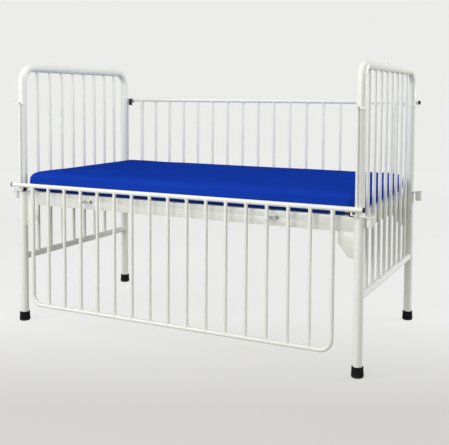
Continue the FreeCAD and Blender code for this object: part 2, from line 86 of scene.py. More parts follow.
LEG_D = size("right_end_arch").x
ARCH_X = middle("right_end_arch").x
ARCH_FOOT_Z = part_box("right_end_arch")[0].z
ARCH_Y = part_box("right_end_arch")[1].y - LEG_D / 2
ARCH_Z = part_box("right_end_arch")[1].z - LEG_D / 2
GUARD_Y = middle("rear_guard_top_rail").y
GUARD_RAIL_Z = {side: middle(side + "_guard_top_rail").z for side in SIDES}


# ---- settings -----------------------------------------------------------------------------

def length(name, description, metres):
    """A length."""
    return FloatProperty(name=name, description=description, default=metres, min=0,
                         unit="LENGTH", precision=4)


def angle(name, description, degrees):
    """An angle, whose default is given in degrees."""
    return FloatProperty(name=name, description=description, default=math.radians(degrees),
                         subtype="ANGLE")


def power(name, description, watts):
    """A lamp's power."""
    return FloatProperty(name=name, description=description, default=watts, min=0,
                         unit="POWER")


def amount(name, description, default):
    """A plain number from nought up."""
    return FloatProperty(name=name, description=description, default=default, min=0)


def count(name, description, default, least=2):
    """A number of things."""
    return IntProperty(name=name, description=description, default=default, min=least)


def colour(name, description, default):
    """A linear colour."""
    return FloatVectorProperty(name=name, description=description, default=default, size=3,
                               min=0, max=1, subtype="COLOR")


class CotTubes(bpy.types.PropertyGroup):
    leg: length("Leg diameter", "Tube of the arched ends", LEG_D)
    arch_bend: length("Arch bend", "Centre-line radius of the arches' corners", 0.057)
    crossbar: length("Crossbar diameter", "Tube across each end", size("right_crossbar").x)
    bar: length("Bar diameter", "Upright bars", size("right_end_bars").x)
    end_bars: count("End bars", "Upright bars in each end", 8)
    end_pitch: length("End pitch", "Spacing of the end bars", 0.0731)
    guard: length("Guard tube", "Tube of the guards' frames", size("rear_guard_top_rail").z)
    guard_bend: length("Guard bend", "Radius of the guards' lower corners", 0.040)
    guard_bars: count("Guard bars", "Upright bars in each guard", 15)
    guard_pitch: length("Guard pitch", "Spacing of the guard bars", 0.0762)
    facets: count("Facets", "Sides of a round tube", 48, least=8)
    bead: length("Weld bead", "Radius of the weld beads", 0.0015)
    edge: length("Eased edge", "Rounding along the edges of plates", 0.0006)


class CotFinish(bpy.types.PropertyGroup):
    enamel: colour("Enamel", "Baked powder paint on the steel", (0.84, 0.85, 0.805))
    vinyl: colour("Vinyl", "Cover of the mattress", (0.0065, 0.044, 0.41))
    rubber: colour("Rubber", "Moulded feet", (0.006, 0.0065, 0.006))
    nylon: colour("Nylon", "Plugs and latch bodies", (0.010, 0.010, 0.012))
    zinc: colour("Zinc", "Plated pins, nuts and bolts", (0.34, 0.34, 0.33))


class CotMattress(bpy.types.PropertyGroup):
    corner: length("Corner radius", "Rounding seen from above", 0.018)
    edge: length("Top edge radius", "Rounding of the upper edge", 0.026)
    base_edge: length("Base edge radius", "Rounding of the lower edge", 0.013)
    swell: length("Swell", "How far the cover may bulge", 0.004)
    voxel: length("Mesh size", "Spacing of the cover's mesh before it is smoothed", 0.0096)
    pressure: amount("Pressure", "Push of the foam on the cover", 4.0)
    ripple: length("Ripple", "Height of the broad ripples on top", 0.0011)
    tuck: length("Tuck", "Depth of the small tucks round the sides", 0.0012)
    seam: length("Seam", "Radius of the seams' welts", 0.0013)


class CotStage(bpy.types.PropertyGroup):
    camera: FloatVectorProperty(name="Camera", description="Place of the camera", size=3,
                                default=(1.3563, -2.5524, 0.8924), subtype="XYZ",
                                unit="LENGTH")
    turn: angle("Turn", "Camera's turn about the upright", 24.693)
    dip: angle("Dip", "Camera's slope downwards", 3.517)
    roll: angle("Roll", "Camera's turn about its view", 0.4335)
    lens: amount("Lens", "Focal length in millimetres", 58.54)
    shift: FloatVectorProperty(name="Shift", description="Camera's shift", size=2,
                               default=(-0.0796, -0.1792))
    front_lamp: power("Front lamp", "Power of the lamp before the cot", 36.0)
    side_lamp: power("Side lamp", "Power of the lamp at the left", 50.0)
    back_lamp: power("Back lamp", "Power of the lamp behind, at right", 50.0)
    top_lamp: power("Top lamp", "Power of the lamp overhead", 18.0)
    around: amount("Around", "Strength of the even light all round", 0.80)
    above: amount("Above", "Strength of the even light from above", 0.10)
    backdrop: colour("Backdrop", "Colour behind the object", (0.838, 0.838, 0.823))
    # painted shade: the floor near the camera is darker than the backdrop, standing in for the
    # studio light falling off
    floor: colour("Floor", "Colour of the floor near the camera", (0.665, 0.66, 0.63))
    underfoot: colour("Floor bounce", "Colour of the light that the floor throws back",
                      (0.30, 0.295, 0.27))


# ---- node trees ---------------------------------------------------------------------------

NODES_PER_COLUMN = 6
NODE_WIDTH, NODE_HEIGHT = 190, 170     # spacing of the nodes in the editor


class Wire:
    """An output socket that takes part in arithmetic."""

    def __init__(self, graph, socket):
        self.graph = graph
        self.socket = socket

    def maths(self, operation, *values):
        """A Math node on wires and numbers."""
        return self.graph.node("ShaderNodeMath", {"operation": operation},
                               dict(enumerate(values)))["Value"]

    def __add__(self, other):
        return self.maths("ADD", self, other)

    __radd__ = __add__

    def __sub__(self, other):
        return self.maths("SUBTRACT", self, other)

    def __rsub__(self, other):
        return self.maths("SUBTRACT", other, self)

    def __mul__(self, other):
        return self.maths("MULTIPLY", self, other)

    __rmul__ = __mul__

    def __pow__(self, other):
        return self.maths("POWER", self, other)

    def between(self, low, high, start=0.0, end=1.0, step="SMOOTHSTEP"):
        """A rise from start at low to end at high, held beyond them."""
        return self.graph.node("ShaderNodeMapRange", {"interpolation_type": step},
                               {"Value": self, "From Min": low, "From Max": high,
                                "To Min": start, "To Max": end})["Result"]


class Made:
    """A node whose outputs are read by name."""

    def __init__(self, graph, node):
        self.graph = graph
        self.node = node

    def __getitem__(self, name):
        return Wire(self.graph, find_socket(self.node.outputs, name))


def find_socket(sockets, name):
    """The socket in use that has this index, identifier or name."""
    if isinstance(name, int):
        return sockets[name]
    return next(s for s in sockets if s.enabled and name in (s.identifier, s.name))


class Graph:
    """A node tree that is filled from expressions."""

    def __init__(self, tree):
        self.tree = tree

    def node(self, kind, settings=None, inputs=None):
        """Adds a node: its settings first, then the values or links of its sockets."""
        node = self.tree.nodes.new(kind)
        column, row = divmod(len(self.tree.nodes), NODES_PER_COLUMN)
        node.location = (NODE_WIDTH * column, -NODE_HEIGHT * row)
        for name, value in (settings or {}).items():
            setattr(node, name, value)
        for name, value in (inputs or {}).items():
            socket = find_socket(node.inputs, name)
            if isinstance(value, Wire):
                self.tree.links.new(value.socket, socket)
            elif socket.type == "RGBA" and len(value) == 3:
                socket.default_value = (*value, 1)
            else:
                socket.default_value = value
        return Made(self, node)

    def axis(self, vector, name):
        """One component of a vector."""
        return self.node("ShaderNodeSeparateXYZ", {}, {"Vector": vector})[name]

    def noise(self, vector, scale, detail=2.0, roughness=0.5, distortion=0.0):
        """Soft noise from nought to one."""
        return self.node("ShaderNodeTexNoise", {}, {
            "Vector": vector, "Scale": scale, "Detail": detail, "Roughness": roughness,
            "Distortion": distortion})["Fac"]

    def stretched(self, vector, scale):
        """The vector scaled along its axes."""
        return self.node("ShaderNodeMapping", {}, {"Vector": vector, "Scale": scale})["Vector"]

    def mix(self, factor, first, second):
        """A colour between two colours."""
        return self.node("ShaderNodeMix", {"data_type": "RGBA"},
                         {"Factor": factor, "A": first, "B": second})["Result"]

    def mix_shaders(self, factor, first, second):
        """A shader between two shaders."""
        return self.node("ShaderNodeMixShader", {}, {0: factor, 1: first, 2: second})["Shader"]

    def bump(self, height, distance, strength, normal=None):
        """A normal raised by a height, over another normal if one is given."""
        inputs = {"Height": height, "Distance": distance, "Strength": strength}
        if normal is not None:
            inputs["Normal"] = normal
        return self.node("ShaderNodeBump", {}, inputs)["Normal"]

    def swept(self, line, radius, facets, more=None):
        """A round section swept along a curve."""
        section = self.node("GeometryNodeCurvePrimitiveCircle", {}, {
            "Resolution": facets, "Radius": radius})["Curve"]
        return self.node("GeometryNodeCurveToMesh", {}, {
            "Curve": line, "Profile Curve": section, **(more or {})})["Mesh"]

    def row(self, given, part, more=None):
        """Copies of a part, from the tree's input First on, one Step apart."""
        line = self.node("GeometryNodeMeshLine", {}, {
            "Count": given["Count"], "Start Location": given["First"],
            "Offset": given["Step"]})["Mesh"]
        return self.node("GeometryNodeInstanceOnPoints", {}, {
            "Points": line, "Instance": part, **(more or {})})["Instances"]


# ---- finishes -----------------------------------------------------------------------------

PAINT_CAST = (0.97, 0.975, 0.94)       # warmer patches, as shares of the paint's colour
SCUFFED_PAINT = (0.42, 0.41, 0.39)
CHIPPED_PAINT = (0.16, 0.15, 0.14)
FLOOR_DUST = (0.21, 0.20, 0.18)
DULL_ZINC = (0.24, 0.245, 0.25)
WORN_BELOW, WORN_MOST = 0.34, 0.02     # heights between which the paint's wear grows
DUST_TOP = 0.010                       # height of the dust on the feet


def lighter(tint, step):
    """A colour with a step added to each channel."""
    return [c + step for c in tint]


def scaled(tint, *shares):
    """A colour times one share, or times a share for each channel."""
    if len(shares) == 1:
        shares *= 3
    return [c * share for c, share in zip(tint, shares)]


def new_finish(name):
    """A material with an empty tree, its graph and the object's own coordinates."""
    material = bpy.data.materials.new(name)
    material.use_nodes = True
    material.node_tree.nodes.clear()
    graph = Graph(material.node_tree)
    return material, graph, graph.node("ShaderNodeTexCoord")["Object"]


def surface(graph, **inputs):
    """Ends a material in one Principled shader; underscores in the names stand for spaces."""
    shader = graph.node("ShaderNodeBsdfPrincipled", {},
                        {name.replace("_", " "): value for name, value in inputs.items()})
    graph.node("ShaderNodeOutputMaterial", {}, {"Surface": shader["BSDF"]})


def enamel_finish(tint):
    """Glossy baked paint: orange peel, a faint cast, and scuffs and chips that grow low down."""
    material, graph, spot = new_finish("White enamel")
    low_down = graph.axis(spot, "Z").between(WORN_BELOW, WORN_MOST)
    cast = graph.noise(spot, scale=5.0, detail=3.0)
    streaks = graph.noise(graph.stretched(spot, (1, 1, 0.12)), scale=140.0, detail=5.0,
                          roughness=0.65)
    specks = graph.noise(spot, scale=420.0, detail=3.0, roughness=0.6)
    scuff = streaks.between(0.60, 0.74) * (low_down * 0.75 + 0.12)
    chip = specks.between(0.735, 0.755) * low_down
    paint = graph.mix(cast * 0.5, tint, scaled(tint, *PAINT_CAST))
    paint = graph.mix(scuff * 0.35, paint, SCUFFED_PAINT)
    paint = graph.mix(chip * 0.8, paint, CHIPPED_PAINT)
    peel = graph.noise(spot, scale=330.0, roughness=0.45)
    fine = graph.noise(spot, scale=1500.0, detail=1.0)
    surface(graph, Base_Color=paint,
            Roughness=0.24 + cast * 0.08 + scuff * 0.3 + chip * 0.3,
            Normal=graph.bump(peel + fine * 0.15, distance=0.00022, strength=0.55),
            Specular_IOR_Level=0.5, Coat_Roughness=0.12, Coat_Weight=0.25)
    return material


def vinyl_finish(tint):
    """Matt vinyl-coated cloth with a leather grain, soft creases and cloudy wear."""
    material, graph, spot = new_finish("Blue vinyl")
    clouds = graph.noise(spot, scale=7.0, detail=4.0, roughness=0.6)
    creases = graph.noise(graph.stretched(spot, (0.45, 1.0, 1.0)), scale=11.0, detail=3.0,
                          distortion=0.6)
    warp = graph.noise(spot, scale=26.0)
    cells = graph.node("ShaderNodeTexVoronoi", {"feature": "DISTANCE_TO_EDGE"},
                       {"Vector": spot, "Scale": 620.0, "Randomness": 0.9})["Distance"]
    pores = graph.noise(spot, scale=1900.0)
    relief = graph.bump(creases + warp * 0.2, distance=0.0022, strength=0.5)
    grain = cells.between(0.0, 0.28) + pores * 0.25
    surface(graph, Base_Color=graph.mix(clouds, scaled(tint, 0.86), lighter(tint, 0.004)),
            Roughness=0.74 + clouds * 0.12 - cells * 0.05,
            Normal=graph.bump(grain, distance=0.00016, strength=0.6, normal=relief),
            Specular_IOR_Level=0.0)
    return material


def rubber_finish(tint):
    """Matt moulded rubber with a faint bloom, dusty round its base."""
    material, graph, spot = new_finish("Black rubber")
    grit = graph.noise(spot, scale=260.0, detail=5.0, roughness=0.7)
    dust = graph.axis(spot, "Z").between(DUST_TOP, 0.0) * grit
    bloom = graph.noise(spot, scale=90.0, detail=4.0, roughness=0.6)
    skin = graph.mix(bloom * 0.5, tint, lighter(tint, 0.006))
    pits = graph.noise(spot, scale=1600.0, detail=3.0, roughness=0.6)
    surface(graph, Base_Color=graph.mix(dust * 0.5, skin, FLOOR_DUST),
            Roughness=0.62 + bloom * 0.2 + dust * 0.1,
            Normal=graph.bump(pits, distance=0.00018, strength=0.5),
            Specular_IOR_Level=0.10)
    return material


def nylon_finish(tint):
    """Satin moulded nylon with a fine spark-eroded texture."""
    material, graph, spot = new_finish("Black nylon")
    clouds = graph.noise(spot, scale=120.0, detail=3.0)
    pits = graph.noise(spot, scale=2600.0, roughness=0.6)
    surface(graph, Base_Color=graph.mix(clouds * 0.6, tint, lighter(tint, 0.012)),
            Roughness=0.36 + clouds * 0.14,
            Normal=graph.bump(pits, distance=0.00010, strength=0.6),
            Specular_IOR_Level=0.25)
    return material


def zinc_finish(tint):
    """Zinc plate: a faint spangle with lines drawn along the height."""
    material, graph, spot = new_finish("Zinc plate")
    spangle = graph.node("ShaderNodeTexVoronoi", {}, {"Vector": spot, "Scale": 260.0})["Color"]
    shade = graph.node("ShaderNodeSeparateColor", {}, {"Color": spangle})["Red"]
    clouds = graph.noise(spot, scale=60.0, detail=4.0, roughness=0.6)
    lines = graph.noise(graph.stretched(spot, (1, 1, 0.02)), scale=1500.0, detail=3.0,
                        roughness=0.6)
    surface(graph, Base_Color=graph.mix(shade * 0.4 + clouds * 0.3, tint, DULL_ZINC),
            Metallic=1.0, Roughness=0.24 + clouds * 0.16 + shade * 0.05,
            Normal=graph.bump(lines, distance=0.00006, strength=0.5))
    return material


# the record's slots, each with its colour's setting and its maker
FINISHES = {"white_paint": ("enamel", enamel_finish), "blue_vinyl": ("vinyl", vinyl_finish),
            "black_rubber": ("rubber", rubber_finish), "black_plastic": ("nylon", nylon_finish),
            "zinc_plate": ("zinc", zinc_finish)}
made_finishes = {}


def finish_for(slot):
    """The material of one of the record's slots, made once."""
    if slot not in made_finishes:
        name, make = FINISHES[slot]
        made_finishes[slot] = make(list(getattr(bpy.context.scene.cot_finish, name)))
    return made_finishes[slot]


# ---- pieces -------------------------------------------------------------------------------

# degrees between faces past which an edge is shaded sharp
PLATE_CREASE = 35
FOOT_CREASE = 50
WELD_CREASE = 60
COVER_CREASE = 80

TURNED_FACETS = 48
ON_AXIS = 1e-9              # a profile's radius that counts as nought
SIDE_SHARE = 0.49           # most of a side that an eased corner takes
MERGE_GAP = 1e-6
FLAT_ANGLE = math.radians(0.5)
BEVEL_ANGLE = math.radians(40)


def place(name, mesh, *stands_for, body="frame", slot="white_paint", crease=PLATE_CREASE):
    """Puts a finished mesh in the scene as a piece that rides on a body and stands for nodes."""
    mesh.name = name
    mesh.materials.clear()
    mesh.materials.append(finish_for(slot))
    for polygon in mesh.polygons:
        polygon.use_smooth = True
    mesh.set_sharp_from_angle(angle=math.radians(crease))
    piece = bpy.data.objects.new(name, mesh)
    bpy.context.scene.collection.objects.link(piece)
    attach(piece, body)
    if stands_for:
        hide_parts(*stands_for)
    return piece


def place_at_corners(name, stem, edge):
    """Eased copies of the four corner nodes whose names start with a stem, as one piece."""
    nodes = [stem + corner for corner in CORNERS]
    plates = [eased_plate(node, edge) for node in nodes]
    place(name, joined(plates), *nodes)


def evaluated_mesh(data, dress):
    """Puts data in a passing object, lets dress give it modifiers, and returns the result."""
    carrier = bpy.data.objects.new("carrier", data)
    bpy.context.scene.collection.objects.link(carrier)
    dress(carrier)
    mesh = bpy.data.meshes.new_from_object(
        carrier.evaluated_get(bpy.context.evaluated_depsgraph_get()))
    bpy.data.objects.remove(carrier)
    return mesh


def mesh_of(work, name):
    """The mesh that a bmesh holds, which is freed."""
    mesh = bpy.data.meshes.new(name)
    work.to_mesh(mesh)
    work.free()
    return mesh


def joined(meshes):
    """Several meshes as one."""
    work = bmesh.new()
    for mesh in meshes:
        work.from_mesh(mesh)
    return mesh_of(work, "joined")


def polyline(*runs):
    """A curve of straight runs, one spline for each list of points."""
    data = bpy.data.curves.new("route", "CURVE")
    data.dimensions = "3D"
    for spots in runs:
        spline = data.splines.new("POLY")
        spline.points.add(len(spots) - 1)
        for point, spot in zip(spline.points, spots):
            point.co = (*spot, 1)
    return data


def turned(profile, facets=TURNED_FACETS):
    """A closed shape turned about Z; the profile lists (radius, height) from the bottom up."""
    work = bmesh.new()
    rings = []
    for radius, height in profile:
        if radius < ON_AXIS:
            rings.append([work.verts.new((0, 0, height))] * facets)
            continue
        turns = [2 * math.pi * i / facets for i in range(facets)]
        rings.append([work.verts.new((radius * math.cos(a), radius * math.sin(a), height))
                      for a in turns])
    for low, high in zip(rings, rings[1:]):
        for i in range(facets):
            j = (i + 1) % facets
            corners = list(dict.fromkeys((low[i], low[j], high[j], high[i])))
            if len(corners) > 2:
                work.faces.new(corners)
    bmesh.ops.recalc_face_normals(work, faces=work.faces)
    return mesh_of(work, "turned")


def eased(corners, radius, steps=4):
    """A profile whose inner corners are rounded."""
    points = [corners[0]]
    for before, corner, after in zip(corners, corners[1:], corners[2:]):
        a, b, c = Vector(before), Vector(corner), Vector(after)
        cut = min(radius, (a - b).length * SIDE_SHARE, (c - b).length * SIDE_SHARE)
        start, end = b + (a - b).normalized() * cut, b + (c - b).normalized() * cut
        for i in range(steps + 1):
            t = i / steps
            points.append(tuple(start.lerp(b, t).lerp(b.lerp(end, t), t)))
    points.append(corners[-1])
    return points


def eased_plate(node, width):
    """A copy of a CAD node with its corners merged and its edges eased."""
    work = bmesh.new()
    work.from_mesh(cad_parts[node].data)
    bmesh.ops.remove_doubles(work, verts=work.verts, dist=MERGE_GAP)
    bmesh.ops.dissolve_limit(work, angle_limit=FLAT_ANGLE, verts=work.verts, edges=work.edges)

    def dress(carrier):
        bevel = carrier.modifiers.new("Eased", "BEVEL")
        bevel.width = width
        bevel.segments = 2
        bevel.limit_method = "ANGLE"
        bevel.angle_limit = BEVEL_ANGLE
    return evaluated_mesh(mesh_of(work, node), dress)


# ---- Geometry Nodes trees -----------------------------------------------------------------

BEND_STEPS = 16
BEAD_FACETS = 6
BEAD_SPACING = 0.0022
BEAD_RIPPLE = 420.0                   # scale of a bead's unevenness
BEAD_LEAST, BEAD_SWING = 0.6, 0.9     # a bead's least thickness and how far it varies
SADDLE_FACETS = 28
OFF_BAR, OFF_HOST = 0.25, 0.2         # a saddle bead's place off the tubes, in bead radii


def shape_tree(name, *inputs):
    """A tree with named inputs after its geometry; returns its graph and its input node."""
    tree = bpy.data.node_groups.new(name, "GeometryNodeTree")
    tree.interface.new_socket("Geometry", in_out="INPUT", socket_type="NodeSocketGeometry")
    for label, kind in (*inputs, ("Material", "Material")):
        tree.interface.new_socket(label, in_out="INPUT", socket_type="NodeSocket" + kind)
    tree.interface.new_socket("Geometry", in_out="OUTPUT", socket_type="NodeSocketGeometry")
    graph = Graph(tree)
    return graph, graph.node("NodeGroupInput")


def close_tree(graph, given, geometry):
    """Realizes the instances and sets the material."""
    whole = graph.node("GeometryNodeRealizeInstances", {}, {"Geometry": geometry})["Geometry"]
    painted = graph.node("GeometryNodeSetMaterial", {},
                         {"Geometry": whole, "Material": given["Material"]})["Geometry"]
    graph.node("NodeGroupOutput", {}, {"Geometry": painted})
    return graph.tree


def bent_tube_tree():
    """A round tube along straight runs whose corners are bent."""
    graph, given = shape_tree("Bent tube", ("Diameter", "Float"), ("Bend Radius", "Float"),
                              ("Facets", "Int"), ("Bend Steps", "Int"))
    line = graph.node("GeometryNodeFilletCurve", {"mode": "POLY"}, {
        "Curve": given["Geometry"], "Count": given["Bend Steps"],
        "Radius": given["Bend Radius"]})["Curve"]
    tube = graph.swept(line, given["Diameter"] * 0.5, given["Facets"], {"Fill Caps": True})
    return close_tree(graph, given, tube)


def bar_row_tree():
    """Upright bars in a row."""
    graph, given = shape_tree("Bar row", ("Diameter", "Float"), ("Height", "Float"),
                              ("First", "Vector"), ("Step", "Vector"), ("Count", "Int"),
                              ("Facets", "Int"))
    top = graph.node("ShaderNodeCombineXYZ", {}, {"Z": given["Height"]})["Vector"]
    line = graph.node("GeometryNodeCurvePrimitiveLine", {}, {"End": top})["Curve"]
    bar = graph.swept(line, given["Diameter"] * 0.5, given["Facets"])
    return close_tree(graph, given, graph.row(given, bar))


def bead_of(graph, line, radius, seed):
    """An uneven weld bead along a curve."""
    spot = graph.node("GeometryNodeInputPosition")["Position"]
    swing = graph.node("ShaderNodeTexNoise", {"noise_dimensions": "4D"}, {
        "Vector": spot, "W": seed, "Scale": BEAD_RIPPLE, "Detail": 1.0})["Fac"]
    return graph.swept(line, radius, BEAD_FACETS, {
        "Scale": swing * BEAD_SWING + BEAD_LEAST, "Fill Caps": True})


def saddle_bead_tree():
    """Weld beads where a row of round bars meets a round host that runs along local X."""
    graph, given = shape_tree("Saddle beads", ("Bar Diameter", "Float"),
                              ("Host Diameter", "Float"), ("Bead", "Float"),
                              ("First", "Vector"), ("Step", "Vector"), ("Count", "Int"),
                              ("Turn", "Rotation"), ("Seed", "Float"))
    ring = graph.node("GeometryNodeCurvePrimitiveCircle", {}, {
        "Resolution": SADDLE_FACETS,
        "Radius": given["Bar Diameter"] * 0.5 + given["Bead"] * OFF_BAR})["Curve"]
    across = graph.axis(graph.node("GeometryNodeInputPosition")["Position"], "Y")
    reach = given["Host Diameter"] * 0.5
    depth = reach.maths("MAXIMUM", reach * reach - across * across, 0.0)
    lift = graph.node("ShaderNodeCombineXYZ", {}, {
        "Z": depth ** 0.5 + given["Bead"] * OFF_HOST})["Vector"]
    saddle = graph.node("GeometryNodeSetPosition", {}, {
        "Geometry": ring, "Offset": lift})["Geometry"]
    bead = bead_of(graph, saddle, given["Bead"], given["Seed"])
    return close_tree(graph, given, graph.row(given, bead, {"Rotation": given["Turn"]}))


def path_bead_tree():
    """Weld beads along drawn lines."""
    graph, given = shape_tree("Path beads", ("Bead", "Float"), ("Spacing", "Float"),
                              ("Seed", "Float"))
    line = graph.node("GeometryNodeResampleCurve", {"mode": "LENGTH"}, {
        "Curve": given["Geometry"], "Length": given["Spacing"]})["Curve"]
    return close_tree(graph, given, bead_of(graph, line, given["Bead"], given["Seed"]))


def fastener_tree():
    """One small part on each point, turned as the points' attribute says."""
    graph, given = shape_tree("Fasteners", ("Part", "Object"))
    part = graph.node("GeometryNodeObjectInfo", {}, {"Object": given["Part"]})["Geometry"]
    turn = graph.node("GeometryNodeInputNamedAttribute", {"data_type": "FLOAT_VECTOR"},
                      {"Name": "turn"})["Attribute"]
    turn = graph.node("FunctionNodeEulerToRotation", {}, {"Euler": turn})["Rotation"]
    placed = graph.node("GeometryNodeInstanceOnPoints", {}, {
        "Points": given["Geometry"], "Instance": part, "Rotation": turn})["Instances"]
    return close_tree(graph, given, placed)


TREES = {"tube": bent_tube_tree, "bars": bar_row_tree, "saddles": saddle_bead_tree,
         "beads": path_bead_tree, "fasteners": fastener_tree}
made_trees = {}


def tree_for(kind):
    """One of the trees, made once."""
    if kind not in made_trees:
        made_trees[kind] = TREES[kind]()
    return made_trees[kind]


def grown(kind, data=None, **inputs):
    """The plain mesh that a tree makes; underscores in its inputs' names stand for spaces."""
    tree = tree_for(kind)
    values = {name.replace("_", " "): value for name, value in inputs.items()}

    def dress(carrier):
        modifier = carrier.modifiers.new("Shape", "NODES")
        modifier.node_group = tree
        for item in tree.interface.items_tree:
            if item.in_out == "INPUT" and item.name in values:
                modifier[item.identifier] = values[item.name]
    return evaluated_mesh(data or bpy.data.meshes.new("seed"), dress)


def tube_mesh(spots, diameter, bend=0.0, facets=TURNED_FACETS):
    """A bent tube through a list of places."""
    return grown("tube", polyline(spots), Diameter=diameter, Bend_Radius=bend, Facets=facets,
                 Bend_Steps=BEND_STEPS)


def bar_row_mesh(first, step, number, height, diameter, facets):
    """A row of upright bars from their first foot on."""
    return grown("bars", Diameter=diameter, Height=height, First=first, Step=step,
                 Count=number, Facets=facets)


def saddle_beads(first, step, number, bar, host, turn, seed):
    """Welds of a row of bars on a tube, at the crossings of their axes."""
    return grown("saddles", Bar_Diameter=bar, Host_Diameter=host,
                 Bead=bpy.context.scene.cot_tubes.bead, First=first, Step=step,
                 Count=number, Turn=turn, Seed=seed)


def path_beads(runs, seed):
    """Welds along lists of places."""
    return grown("beads", polyline(*runs), Bead=bpy.context.scene.cot_tubes.bead,
                 Spacing=BEAD_SPACING, Seed=seed)


def fasteners(part, spots):
    """Copies of a small mesh at (place, turn) pairs."""
    source = bpy.data.objects.new("part", part)
    points = bpy.data.meshes.new("points")
    points.from_pydata([spot for spot, _ in spots], [], [])
    turns = points.attributes.new("turn", "FLOAT_VECTOR", "POINT")
    for item, (_, turn) in zip(turns.data, spots):
        item.vector = turn
    mesh = grown("fasteners", points, Part=source)
    bpy.data.objects.remove(source)
    return mesh


# ---- ends and feet ------------------------------------------------------------------------

RIB_INSET = 0.0011          # a foot's base rib inside the box of its node
BODY_INSET = 0.0004         # its body inside the rib
SOLE_HOLLOW = 0.0015
MOUTH_GAP = 0.0002          # between a foot's mouth and the leg
FOOT_EASE = 0.0009


class COT_OT_end_frames(bpy.types.Operator):
    """Arched tube ends with their crossbars, upright bars and welds"""
    bl_idname = "cot.end_frames"
    bl_label = "End Frames"

    def execute(self, context):
        tubes = context.scene.cot_tubes
        for end, sign in ENDS.items():
            x = sign * ARCH_X
            arch = tube_mesh([(x, -ARCH_Y, ARCH_FOOT_Z), (x, -ARCH_Y, ARCH_Z),
                              (x, ARCH_Y, ARCH_Z), (x, ARCH_Y, ARCH_FOOT_Z)],
                             tubes.leg, tubes.arch_bend, tubes.facets)
            place(end + "_arch_tube", arch, end + "_end_arch")
            cross_z = middle(end + "_crossbar").z
            crossbar = tube_mesh([(x, -ARCH_Y, cross_z), (x, ARCH_Y, cross_z)],
                                 tubes.crossbar, facets=tubes.facets)
            place(end + "_crossbar_tube", crossbar, end + "_crossbar")
            first = -tubes.end_pitch * (tubes.end_bars - 1) / 2
            step = (0, tubes.end_pitch, 0)
            bars = bar_row_mesh((x, first, cross_z), step, tubes.end_bars, ARCH_Z - cross_z,
                                tubes.bar, tubes.facets // 2)
            place(end + "_bars", bars, end + "_end_bars")
            welds = [
                saddle_beads((x, first, cross_z), step, tubes.end_bars, tubes.bar,
                             tubes.crossbar, (0, 0, QUARTER), seed=1.0 + sign),
                saddle_beads((x, first, ARCH_Z), step, tubes.end_bars, tubes.bar,
                             tubes.leg, (math.pi, 0, QUARTER), seed=4.0 + sign),
                saddle_beads((x, -ARCH_Y, cross_z), (0, 0, 0), 1, tubes.crossbar,
                             tubes.leg, (QUARTER, QUARTER, math.pi), seed=7.0 + sign),
                saddle_beads((x, ARCH_Y, cross_z), (0, 0, 0), 1, tubes.crossbar,
                             tubes.leg, (QUARTER, QUARTER, 0), seed=9.0 + sign)]
            place(end + "_end_welds", joined(welds), crease=WELD_CREASE)
        return {"FINISHED"}


class COT_OT_feet(bpy.types.Operator):
    """Moulded rubber feet on the legs"""
    bl_idname = "cot.feet"
    bl_label = "Rubber Feet"

    def execute(self, context):
        box_size = size("foot_front_left")
        profile = foot_profile(box_size.x / 2 - RIB_INSET, box_size.z,
                               context.scene.cot_tubes.leg / 2 + MOUTH_GAP)
        spots = [((sign * ARCH_X, side * ARCH_Y, 0), NO_TURN)
                 for sign in ENDS.values() for side in SIDES.values()]
        place("feet", fasteners(turned(profile), spots),
              *["foot_" + corner for corner in CORNERS], slot="black_rubber",
              crease=FOOT_CREASE)
        return {"FINISHED"}


def foot_profile(rib, height, mouth):
    """A foot from the floor up: hollow sole, base rib, two grooves and bevelled mouth."""
    body = rib - BODY_INSET
    sole = [(0, SOLE_HOLLOW), (rib * 0.62, SOLE_HOLLOW), (rib * 0.66, 0), (rib - 0.0030, 0)]
    base = [(rib - 0.0008, 0.0020), (rib, 0.0070), (body, 0.0095)]
    grooves = groove(body - 0.0004, 0.0150) + groove(body - 0.0008, 0.0240)
    top = [(body - 0.0012, height - 0.0020), (body - 0.0030, height), (mouth + 0.0006, height),
           (mouth, height - 0.0014), (mouth, height - 0.0060)]
    return eased(sole + base + grooves + top, FOOT_EASE)


def groove(radius, z):
    """A shallow groove in a foot, from its lower lip up."""
    floor = radius - 0.0010
    return [(radius, z), (floor, z + 0.0008), (floor, z + 0.0020), (radius - 0.0001, z + 0.0028)]


# ---- bed base and corner hardware ---------------------------------------------------------

RAIL_EDGE = 0.0012          # bend radius of the folded rails
SOCKET_EDGE = 0.0005
DECK_EDGE = 0.0003

ROD_FACETS = 32
NUT_CAP = [(0, 0), (0.0045, 0), (0.0045, 0.0022), (0.0037, 0.0028), (0.0030, 0.0041),
           (0, 0.0045)]

# degrees round a leg between which the welds run: from outwards along X to the guard's side
PLATE_TOP_WELD = (-60, 70)
PLATE_UNDER_WELD = (-62, 167)
BRACKET_WELD = (-39, 167)
SOCKET_WELD = (0, 360)
WELD_STEP = 8               # degrees between a round weld's points
WELD_OFF = 0.3              # bead radii by which a bead's line lies off its leg
RAIL_WELD_OFF = 0.0004      # a rail's end weld off the rail's face
RAIL_WELD_INSET = 0.002     # its ends short of the rail's edges
CORNER_SEED = 24.0


class COT_OT_bed_base(bpy.types.Operator):
    """Folded side rails, end angles, corner gussets, bearers and the vented deck"""
    bl_idname = "cot.bed_base"
    bl_label = "Bed Base"

    def execute(self, context):
        edge = context.scene.cot_tubes.edge
        for node, width in (("front_side_rail", RAIL_EDGE), ("rear_side_rail", RAIL_EDGE),
                            ("front_gussets", edge), ("rear_gussets", edge),
                            ("left_end_angle", edge), ("right_end_angle", edge)):
            place(node + "_eased", eased_plate(node, width), node)
        for node in ("deck_bearers", "bed_deck"):
            place(node + "_smooth", eased_plate(node, DECK_EDGE), node)
        return {"FINISHED"}


